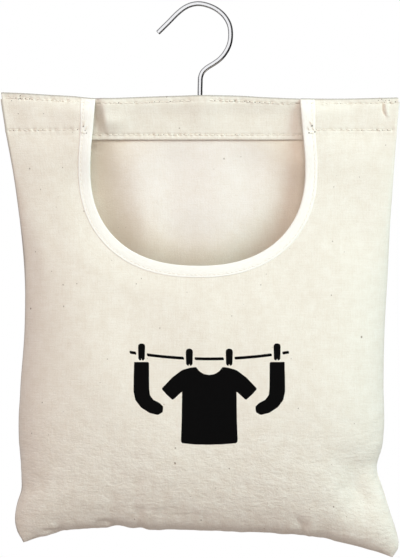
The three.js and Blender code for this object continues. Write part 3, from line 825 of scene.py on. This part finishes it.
class Look(Nodes):
    """A material."""

    def __init__(self, name, roughness, metallic=0.0, sheen=0.0, specular=0.5):
        self.made = bpy.data.materials.new(name)
        self.made.use_nodes = True
        super().__init__(self.made.node_tree)
        self.shader = self.tree.nodes["Principled BSDF"]
        self.set("Roughness", roughness)
        self.set("Metallic", metallic)
        self.set("Sheen Weight", sheen)
        self.set("Sheen Roughness", 0.5)
        self.set("Specular IOR Level", specular)

    def set(self, name, value):
        self.put(self.shader.inputs[name], value)

    def flat(self):
        """Across and down on the flat pattern, in millimetres."""
        parts = self.new("SeparateXYZ", [self.new("UVMap", uv_map="flat")])
        return parts * 100, parts.out(1) * 100

    def bump(self, value, strength, distance):
        inputs = {"Strength": strength, "Distance": distance * MM, "Height": value}
        self.set("Normal", self.new("Bump", inputs))

    def show(self, shader):
        self.put(self.tree.nodes["Material Output"].inputs[0], shader)


YARN = 0.66  # width of a yarn of the canvas
FLECK = linear(112, 90, 64)
PAINTED_RIM_SHADE = (0.985, 0.945, 0.865, 1)  # painted warm shade for the canvas inside the bag, away from the middle of the mouth


def weave(look, x, y):
    """Height of a plain weave with uneven yarns, from 0 to 1, and its slubs."""
    wobble = (look.noise(look.vector(x, y), 0.35, 1.0) - 0.5) * 1.4
    across, down = (look.math("COSINE", (way + wobble) * (math.pi / YARN)) for way in (x, y))
    weft = look.noise(look.vector(x * 0.08, y), 1.1)
    warp = look.noise(look.vector(x, y * 0.09, 7.0), 1.2)
    return look.math("ABSOLUTE", across * down), (weft + warp) * 0.5


def flecks(look, x, y, cell, size, share):
    """Small seed flecks: 1 in a fleck, 0 elsewhere."""
    cells = {"Vector": look.vector(x, y * 0.8), "Scale": 1 / cell}
    near = look.new("TexVoronoi", cells, "Distance", feature="F1")
    chosen = look.new("SeparateColor", [near.out("Color")])
    depth = (chosen.out(1) * (size / cell) - near) * (3.2 * cell / size)
    depth = look.math("MINIMUM", look.math("MAXIMUM", depth, 0.0), 1.0)
    return depth * look.math("LESS_THAN", chosen, share)


def canvas_look(name, light, dark, within=False):
    look = Look(name, 0.92, sheen=0.12, specular=0.18)
    x, y = look.flat()
    over, slubs = weave(look, x, y)
    cloudy = look.noise(look.vector(x, y, 3.0), 0.12, 4.0, 0.6)
    grain = look.noise(look.vector(x, y, 5.0), 0.85, 3.0, 0.7)
    tone = look.ramp(slubs * 0.4 + cloudy * 0.35 + grain * 0.25, (0.36, dark), (0.64, light))
    tone = look.darkened(tone, 1 - (1 - over) * 0.06)
    tone = look.mix(flecks(look, x, y, 15.0, 1.0, 0.7) * 0.7, tone, FLECK)
    tone = look.mix(flecks(look, x + 311, y, 6.5, 0.7, 0.6) * 0.5, tone, FLECK)
    # Painted shade along the folded top, and along the left seam, which turns away from the key lamp
    tone = look.darkened(tone, look.ease(look.math("ABSOLUTE", y), 0.4, 1.7, 0.52))
    tone = look.darkened(tone, look.ease(x + SPAN / 2, -0.1, 1.2, 0.66))
    if within:
        # Painted shade: the inside turns warmer and darker away from the middle of the mouth
        aside = (x - SCOOP_SHIFT) / SCOOP_HALF
        below = (y - 0.5 * SCOOP_DEPTH) / (0.5 * SCOOP_DEPTH)
        tone = look.mix(look.ease(aside * aside + below * below, 0.15, 0.9), tone, PAINTED_RIM_SHADE, "MULTIPLY")
    look.set("Base Color", tone)
    # Low down the cloth is finely crinkled
    crinkle = look.noise(look.vector(x * 0.55, y, 9.0), 0.5) * look.ease(y, 190, 300, 0.0, 4.5)
    look.bump(over * 0.5 + slubs + crinkle + grain * 1.5, 0.5, 0.3)
    return look.made


def ink_look():
    look = Look("black_ink", 0.8, specular=0.08)
    over, slubs = weave(look, *look.flat())
    look.set("Base Color", look.ramp(over * slubs, (0.1, linear(3, 3, 3)), (0.75, linear(13, 12, 12))))
    look.bump(over + slubs, 0.25, 0.2)
    return look.made


def tape_look():
    look = Look("white_tape", 0.85, sheen=0.15, specular=0.25)
    x, y = look.flat()
    twill = look.math("SINE", (x + y) * (2 * math.pi / 0.9))
    slubs = look.noise(look.vector(x * 0.15, y), 1.6)
    look.set("Base Color", look.ramp(slubs, (0.25, linear(247, 244, 234)), (0.75, linear(255, 254, 248))))
    look.bump(twill * 0.3 + slubs, 0.25, 0.2)
    return look.made


def grained_look(name, roughness, grain, dark, light, stretch=None, bump=None, uneven=None, **shine):
    """A look whose colour follows a grain of (scale, detail, roughness), and its relief or finish too."""
    look = Look(name, roughness, **shine)
    place = look.place()
    if stretch:
        place = look.new("Mapping", {"Vector": place, "Scale": stretch})
    grain = look.noise(place, *grain)
    look.set("Base Color", look.ramp(grain, (0.3, linear(*dark)), (0.7, linear(*light))))
    if bump:
        look.bump(grain, *bump)
    if uneven:
        look.set("Roughness", grain * uneven[0] + uneven[1])
    return look.made


canvas = canvas_look("canvas", linear(251, 247, 235), linear(239, 231, 215))
# The back panel's inside face: the canvas painted brighter, with painted shade towards the mouth's rim
canvas_inside_painted_light = canvas_look("canvas_inside_painted_light", linear(253, 248, 240), linear(245, 237, 225), within=True)
ink, tape = ink_look(), tape_look()
thread = grained_look(
    "sewing_thread", 0.75, (2600.0,), (238, 230, 214), (255, 251, 241),
    bump=(0.3, 0.1), sheen=0.2, specular=0.3,
)
# Dark caps at stitch ends: painted shade of needle holes
hole_shade = grained_look("needle_hole_shade", 0.95, (1800.0,), (74, 64, 54), (120, 106, 90), specular=0.05)
chrome = grained_look(
    "chrome", 0.12, (900.0,), (235, 235, 238), (246, 246, 248), uneven=(0.06, 0.1), metallic=1.0
)
zinc = grained_look(
    "zinc", 0.35, (700.0, 3.0), (176, 178, 180), (206, 208, 210), uneven=(0.2, 0.28), metallic=1.0
)
pine = grained_look(
    "pine", 0.6, (1.0, 4.0, 0.6), (196, 158, 108), (229, 203, 160),
    stretch=(6.0, 260.0, 260.0), bump=(0.2, 0.2), specular=0.35,
)


# The cloth pieces

def seam_chain(panel, top):
    """The seam's points below a drop, their drops, and how far the allowance reaches at each."""
    drops = seam_front[:, 1]
    below = np.nonzero(drops > top)[0]
    first, last = below[0], below[-1] + 1
    run = run_along(seam_front)
    corners = [run[len(left_seam) - 1], run[len(left_seam) + len(bottom_seam) - 2]]
    to_corner = np.min([np.abs(run[first:last] - corner) for corner in corners], axis=0)
    return panel.chain(first, last), drops[first:last], np.minimum(ALLOWANCE, 0.5 * to_corner + 0.4)


# The allowances of the two panels lie together in the middle, or against the hem where that is between them
MEET = HALF + 0.05
chain, drops, reach = seam_chain(front, 2.5)
depth = front_stack(drops) - MEET - (LAYER + HALF) * (1 - smooth(drops, HEM_DEPTH, HEM_DEPTH + 4))
front.turn_in(chain, 1, 1 + (reach - 1) * smooth(drops, 34, 52), MIDDLE_DROP, ROLL, depth)
chain, drops, reach = seam_chain(back, HEM_DEPTH + 1)
depth = np.maximum(LAYER + back_stack(drops) - MEET, 0.1)
radius = 0.05 + (ROLL - 0.05) * smooth(drops, 34, 60)
back.turn_in(chain, -1, reach * smooth(drops, 30, 52), MIDDLE_DROP, radius, depth)
# The hem's lower edge is turned under
first = len(seam_front) + len(band_side) - 1
chain = back.chain(first, first + len(band_low) + 2)
back.turn_in(chain, 1, np.full(len(chain), 5.0), -5, 0.45, 0.9)


def add_panel(name, panel, other_look, where_other, *nodes):
    points, faces = panel.solid()
    face_looks = np.zeros(len(faces), int)
    face_looks[where_other] = 1
    made = add_mesh(name, points, faces, [canvas, other_look], np.tile(panel.flat, (2, 1)), face_looks)
    return fit(made, "bag", "canvas", *nodes)


middles = front.flat[front.faces].mean(axis=1)
inked = np.nonzero(np.any([inside(middles, line) for line in print_lines], axis=0))[0]
front_nodes = ("front_panel", "left_strap_facing", "right_strap_facing")
front_piece = add_panel("front_cloth", front, ink, inked, *front_nodes)
inner_faces = np.arange(len(back.faces)) + len(back.faces)
back_piece = add_panel("back_cloth", back, canvas_inside_painted_light, inner_faces, "back_panel")


def add_binding():
    # Half the tape's section as (reach into the cloth from the mouth's edge, height over the cloth's middle)
    face = [
        (8.4, 0.5), (8.3, 0.74), (7.7, 0.88), (7.0, 0.84), (6.4, 0.66), (5.8, 0.84), (4.7, 1.0), (3.4, 1.06),
        (2.0, 1.06), (0.9, 1.02), (0.0, 0.96), (-0.5, 0.72), (-0.82, 0.36),
    ]
    outside = face + [(-0.9, 0.0)] + [(b, -n) for b, n in face[::-1]]
    lining = [(8.3, -0.44), (4.7, -0.44), (0.2, -0.44), (-0.42, -0.22)]
    section = outside + lining + [(b, -n) for b, n in lining[::-1]]
    reaches = {b for b, _ in section if b >= 0}
    laid = {b: front.where(flat_of(*mouth_edge(b, BINDING_TOP, BINDING_FLARE).T)) for b in reaches}
    edge, edge_normals = laid[0.0]
    away = unit(edge - laid[2.0][0])

    def place(b, n):
        at, normal = laid[b] if b >= 0 else (edge - away * b, edge_normals)
        return at + normal * n

    rings = np.stack([place(b, n) for b, n in section], axis=1)
    stations, sides = rings.shape[:2]
    round_it = np.array([b if n >= 0 else -b for b, n in section])
    flat = np.stack(np.meshgrid(run_along(edge), round_it, indexing="ij"), axis=-1).reshape(-1, 2)
    faces = []
    for i in range(stations - 1):
        for k in range(sides):
            after = (k + 1) % sides
            faces.append((i * sides + k, i * sides + after, (i + 1) * sides + after, (i + 1) * sides + k))
    count = len(outside)
    for start, turned in ((0, True), ((stations - 1) * sides, False)):
        inner = [start + sides - 1 - round(k * (sides - count - 1) / (count - 1)) for k in range(count)]
        for k in range(count - 1):
            corners = [start + k, start + k + 1, inner[k + 1]]
            if inner[k] != inner[k + 1]:
                corners.append(inner[k])
            faces.append(tuple(corners[::-1] if turned else corners))
    made = add_mesh("mouth_binding", rings.reshape(-1, 3), faces, [tape], flat, sharp=60)
    return fit(made, "bag", "tape", "scoop_binding")


binding_piece = add_binding()


# Stitching

class Threads:
    """Tubes of thread gathered into one mesh."""

    def __init__(self):
        self.points, self.faces, self.dark, self.count = [], [], [], 0

    def tube(self, centres, normals, radii, sides=6):
        along = unit(np.gradient(centres, axis=0))
        beside = unit(np.cross(along, normals))
        above = np.cross(beside, along)
        turn = turns(sides)[None, :, None]
        ring = np.cos(turn) * above[:, None] + np.sin(turn) * beside[:, None]
        rows = len(centres)
        rings = centres[:, None] + ring * np.broadcast_to(radii, rows)[:, None, None]
        for i in range(rows - 1):
            a, b = self.count + i * sides, self.count + (i + 1) * sides
            self.faces += [(a + k, b + k, b + (k + 1) % sides, a + (k + 1) % sides) for k in range(sides)]
        self.faces.append(tuple(self.count + k for k in range(sides)))
        self.faces.append(tuple(self.count + (rows - 1) * sides + k for k in reversed(range(sides))))
        self.points.append(rings.reshape(-1, 3))
        self.count += rows * sides

    def hole(self, place, normal, radius):
        """Painted shade of a needle hole: a small dark cap just above the cloth."""
        beside = unit(np.cross(normal, [0.31, 0.2, 0.93]))
        above = np.cross(normal, beside)
        turn = turns(6)[:, None]
        ring = place + radius * (np.cos(turn) * beside + np.sin(turn) * above)
        sunk, ends = normal * 0.3, [place + normal * 0.07, place - normal * 0.3]
        self.points.append(np.concatenate([ring - sunk, ring + normal * 0.03, ends]))
        low, high, top, bottom = self.count, self.count + 6, self.count + 12, self.count + 13
        for k in range(6):
            n = (k + 1) % 6
            wall = (low + k, low + n, high + n, high + k)
            self.faces += [wall, (high + k, high + n, top), (low + n, low + k, bottom)]
        self.dark += range(len(self.faces) - 18, len(self.faces))
        self.count += 14

    def row(self, places, normals, draw, pitch=PITCH, length=3.3, thick=0.82, holes=0.0):
        """Stitches along a line on the cloth: each dips in at both its ends."""
        run = run_along(places)
        t = np.linspace(0, 1, 8)
        for k in range(int(run[-1] // pitch)):
            start = k * pitch + (pitch - length) / 2 + draw.uniform(-0.12, 0.12)
            s = start + t * length * draw.uniform(0.92, 1.06)
            at, up = between(s, run, places), unit(between(s, run, normals))
            side = np.cross(unit(np.gradient(at, axis=0)), up)
            lift = thick * (0.85 * np.sin(math.pi * t) ** 0.55 - 0.45)
            at = at + up * lift[:, None] + side * ((t - 0.5) * draw.uniform(-1.0, 1.0))[:, None]
            self.tube(at, up, thick / 2 * (0.72 + 0.28 * np.sin(math.pi * t)))
            # Some stitch ends get a dark cap: painted shade of the needle hole
            if draw.uniform() < holes:
                self.hole(at[-1] - up[-1] * lift[-1], up[-1], draw.uniform(0.34, 0.76))

    def add(self, name, *nodes):
        shades = np.zeros(len(self.faces), int)
        shades[self.dark] = 1
        points = np.concatenate(self.points)
        made = add_mesh(name, points, self.faces, [thread, hole_shade], None, shades, sharp=70)
        fit(made, "bag", "thread", *nodes)


def across_row(panel, drop, start, end, lift=HALF, far=False):
    """A row at one drop, as places and normals on the cloth's outer face."""
    x = np.linspace(start, end, max(3, int(abs(end - start) / 1.5)))
    flat = flat_of(x, drop(x) if callable(drop) else np.full_like(x, drop))
    if far:
        flat[:, 1] *= -1
    return panel.where(flat, lift)


def corner_loops(threads, side, draw):
    """The overlock's loose loops that stand over the top corner, and dark caps beside them as painted shade
    of needle holes.
    """
    middle = float(seam_line_y(0.5 + 0.5 * side, 0.0))
    top = []
    for k in range(17):
        x = side * (151.6 - k * 0.85)
        lift = height(np.array([x]), np.array([0.0]))[0]
        y = middle + (-2.8 if k % 2 == 0 else 2.8)
        top.append((x + draw.uniform(-0.5, 0.5), y, lift - draw.uniform(1.2, 3.6)))
        top.append((x - side * 0.4, middle + draw.uniform(-0.8, 0.8), lift + draw.uniform(0.3, 1.1)))
    fine = softened(finer(top, len(top) * 5), 3)
    up = np.tile([0.0, 0.15, 1.0], (len(fine), 1))
    up[:, 1] += np.sin(np.arange(len(fine))) * 0.1
    threads.tube(fine, unit(up), LOOSE, 5)
    x = side * draw.uniform(136, 150.5, 9)
    for place, normal in zip(*front.where(flat_of(x, draw.uniform(1.2, 5.5, 9)), HALF)):
        threads.hole(place, normal, draw.uniform(0.25, 0.45))


# Ends of the tack's stitches as (reach into the cloth from the mouth's edge, drop)
TACK = (
    ((4.6, 19.5), (8.2, 28.8)), ((3.0, 23.5), (5.2, 29.2)), ((8.4, 29), (2.6, 29.6)), ((6, 20), (6.4, 27)),
)


def at_mouth(side, reach, drop):
    line = mouth_edge(reach)
    half = len(line) // 2
    line = line[:half] if side < 0 else line[half:]
    return line[np.argmin(np.abs(line[:, 1] - drop))]


def add_strap_stitching():
    for side, name in ((-1, "left"), (1, "right")):
        draw = np.random.default_rng(20 + side)
        mouth_x = mouth[0 if side < 0 else -1, 0]
        inner = mouth_x + side * (BINDING * (1 + BINDING_FLARE) + 0.4)
        top, strap, tack = Threads(), Threads(), Threads()
        top.row(*across_row(front, top_row, side * STRAP_TOP_END, inner), draw, holes=0.75)
        top.row(*across_row(front, top_row, inner - side * 0.6, mouth_x + side * 1.4, 1.0), draw)
        corner_loops(top, side, draw)
        top.add(name + "_top_stitches", name + "_top_stitching")
        strap.row(*across_row(front, STRAP_ROW, side * STRAP_ROW_END, inner), draw, holes=0.6)
        strap.add(name + "_strap_stitches", name + "_strap_stitching")
        for ends in TACK:
            line = resampled([at_mouth(side, *end) for end in ends], 0.8)
            places = front.where(flat_of(*line.T), 1.05)
            tack.row(*places, draw, pitch=5.4, length=4.6, thick=0.6, holes=0.9)
        tack.add(name + "_binding_tack_stitches", name + "_binding_tack")


def add_hem_stitching():
    draw = np.random.default_rng(3)
    hem, top = Threads(), Threads()
    hem.row(*across_row(back, HEM_ROW, -HEM_ROW_END, HEM_ROW_END, far=True), draw, holes=0.7)
    hem.row(*across_row(back, HEM_ROW, -HEM_ROW_END, HEM_ROW_END), draw)
    hem.add("hem_stitches", "hem_stitching")
    for start, end in ((-77, -4.5), (7.5, 75)):
        top.row(*across_row(back, top_row, start, end, far=True), draw, holes=0.8)
    for start, end in ((-BACK_TOP_END, -4.5), (5.5, BACK_TOP_END)):
        top.row(*across_row(back, top_row, start, end), draw)
    top.add("back_top_stitches", "back_top_stitching")


def add_binding_stitching():
    draw = np.random.default_rng(8)
    row = Threads()
    flat = flat_of(*mouth_edge(6.4, flare=BINDING_FLARE).T)
    for face in (1, -1):
        places, normals = front.where(flat, face * 0.72)
        row.row(places[2:-2], face * normals[2:-2], draw, pitch=3.4, length=2.9, thick=0.5)
    row.add("binding_stitches", "binding_stitching")


def add_overlock():
    """Thread wrapped round the seam allowances inside the bag."""
    start = 0
    seams = {"left_side_seam": left_seam, "bottom_seam": bottom_seam, "right_side_seam": right_seam}
    for node, line in seams.items():
        chain = front.chain(start, start + len(line))
        start += len(line) - 1
        edge = front.at[chain[front.flat[chain][:, 1] > HEM_DEPTH + 12][8:-8]]
        level = unit(np.cross(np.gradient(edge, axis=0), [0, 1, 0]))
        level *= np.sign(((edge - [0, 0, HEM_TOP - MIDDLE_DROP]) * level).sum(axis=1))[:, None]
        wraps = int(len(edge) * 1.3)
        path = []
        for (x, _, z), (out_x, _, out_z) in zip(finer(edge, wraps), unit(finer(level, wraps))):
            middle = float(seam_line_y(0 if x < 0 else 1, HEM_TOP - z))
            for reach, y in ((3.4, -1.1), (8.2, -1.2), (8.9, 0.0), (8.2, 1.2), (3.4, 1.1)):
                path.append((x - out_x * reach, y + middle, z - out_z * reach))
        threads = Threads()
        threads.tube(softened(finer(path, len(path) * 2), 1), unit(np.array([0.3, 0.9, 0.3])), LOOSE, 4)
        threads.add(node + "_overlock", node)


add_strap_stitching()
add_hem_stitching()
add_binding_stitching()
add_overlock()


# The wire hook

def add_hook():
    wire, head = 1.9, 2.7
    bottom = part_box("hook")[0].z / MM
    path = np.array([
        (-32.3, -20.7), (-24.2, -12.7), (-16.6, -5.1), (-12.4, -1.8), (-6.2, 1.0), (-0.5, 1.65), (6.2, 0.3),
        (13.2, -3), (18.9, -8.1), (22.5, -14.4), (23.6, -22.2), (22.5, -30), (19.8, -35.6), (15.8, -40.6),
        (10.5, -44.6), (5.2, -47.9), (1.8, -51.2), (0.45, -54.6), (0.15, -60), (0, -66), (0, -72), (0, -80),
        (0, bottom + 6), (0, bottom),
    ])
    run = run_along(path)
    at = np.linspace(0, run[-1], 260)
    x, z = (through(np.stack([run, column], 1))(at) for column in path.T)
    places = softened(np.stack([x, np.zeros(len(at)), z], 1), 6)
    places = np.concatenate([places[:1] + (places[0] - places[1]) * 0.4, places])
    radii = np.full(len(places), wire)
    radii[0], radii[-3:] = wire * 0.8, head
    made = Threads()
    made.tube(places, [0, 1, 0], radii, 28)
    hook = add_mesh("wire_hook", np.concatenate(made.points), made.faces, [chrome], sharp=40)
    fit(hook, "hook", "chrome", "hook")


add_hook()
for node, look in (("hook_washer", zinc), ("hanger_bar", pine)):
    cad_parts[node].data.materials.clear()
    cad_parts[node].data.materials.append(look)


# Stage, light and camera

SEEN = ("Is Camera Ray", "Is Glossy Ray", "Is Transmission Ray")
AMBIENT = 0.525
FLOOR, FLOOR_RADIUS = -0.78, 1.5
LAMP_TARGET, LAMP_SIZE = (0, 0, -0.28), 1.2
LAMPS = (  # name, place, power, colour
    ("key", (1.393, -1.169, 0.77), 22.6, (0.655, 0.965, 1)),
    ("fill", (0, -1.819, 0.77), 16, (1, 0.86, 0.795)),
    ("behind", (-0.5, 1.819, 0.77), 26, (1, 0.95, 0.92)),
)


def seen(nodes):
    """1 for the rays that show what they meet to the camera, else 0."""
    camera, glossy, through_glass = (nodes.new("LightPath", (), kind) for kind in SEEN)
    return nodes.math("MAXIMUM", nodes.math("MAXIMUM", camera, glossy), through_glass)


def add_world():
    world = bpy.data.worlds.new("studio")
    bpy.context.scene.world = world
    world.use_nodes = True
    nodes = Nodes(world.node_tree)
    room = nodes.tree.nodes["Background"]
    room.inputs["Color"].default_value = (1, 0.92, 0.935, 1)
    room.inputs["Strength"].default_value = AMBIENT
    white = nodes.new("Background", [(1, 1, 1, 1)])
    mixed = nodes.new("MixShader", [seen(nodes), Value(nodes, room.outputs[0]), white])
    nodes.put(nodes.tree.nodes["World Output"].inputs[0], mixed)


def add_floor():
    look = Look("floor_paper", 0.95, specular=0.1)
    place = look.place()
    grain = look.noise(place, 60.0, 3.0)
    look.set("Base Color", look.ramp(grain, (0.3, linear(158, 149, 146)), (0.7, linear(164, 155, 152))))
    level = look.new("VectorMath", [place, (1, 1, 0)], operation="MULTIPLY")
    away = look.new("VectorMath", [level], "Value", operation="LENGTH")
    share = look.ease(away, 0.35, 1.2, 0.62) * seen(look)  # the camera sees it pale, and white far off
    paper = Value(look, look.shader.outputs[0])
    look.show(look.new("MixShader", [share, paper, look.new("Emission")]))
    across, along = FLOOR_RADIUS / MM * np.cos(turns(96)), FLOOR_RADIUS / MM * np.sin(turns(96))
    rim = np.stack([across, along, np.full(96, FLOOR / MM)], 1)
    floor = add_mesh("floor", rim, [tuple(range(96))], [look.made])


def add_flag():
    """A dark ring round the view that only reflections see, which gives the bright wire its dark edges."""
    radius, centre_z, count = 80, -26, 64
    turn = turns(count)
    lean = np.cos(turn - 3 * math.pi / 4)  # 1 at the upper left, -1 at the lower right
    rings = [
        np.stack([np.cos(turn) * radius, y + side * lean, np.sin(turn) * radius + centre_z], 1)
        for y, side in ((-66, 44), (320, 0))
    ]
    faces = [(k, (k + 1) % count, count + (k + 1) % count, count + k) for k in range(count)]
    look = Look("dark_cloth", 1.0, specular=0.0)
    parts = look.new("SeparateXYZ", [look.place()])
    to_upper_left = (parts.out(2) - parts) * 4.5 + 0.5
    shade = look.ramp(to_upper_left, (0.0, (0.02, 0.02, 0.02, 1)), (1.0, (0.3, 0.3, 0.3, 1)))
    look.show(look.new("Emission", [shade]))
    flag = add_mesh("dark_flag", np.concatenate(rings), faces, [look.made])
    flag.visible_camera = flag.visible_diffuse = flag.visible_shadow = False
    flag.visible_transmission = flag.visible_volume_scatter = False


def add_lamp(name, place, power, colour):
    data = bpy.data.lights.new(name, "AREA")
    data.shape, data.size, data.energy, data.color = "DISK", LAMP_SIZE, power, colour
    lamp = add_object(name, data)
    lamp.location = place
    lamp.rotation_mode = "QUATERNION"
    lamp.rotation_quaternion = (Vector(LAMP_TARGET) - Vector(place)).to_track_quat("-Z", "Y")
    lamp.visible_glossy = False


def add_camera():
    distance, width, level = 1.6, 0.308, -0.2104
    data = bpy.data.cameras.new("camera")
    data.sensor_fit, data.sensor_width = "HORIZONTAL", 36
    data.lens = data.sensor_width * distance / width
    camera = add_object("camera", data)
    camera.location = (0, -distance, level)
    camera.rotation_euler = (math.pi / 2, 0, 0)
    bpy.context.scene.camera = camera


add_world()
add_floor()
add_flag()
for lamp in LAMPS:
    add_lamp(*lamp)
add_camera()
bpy.context.scene.view_settings.view_transform = "Standard"
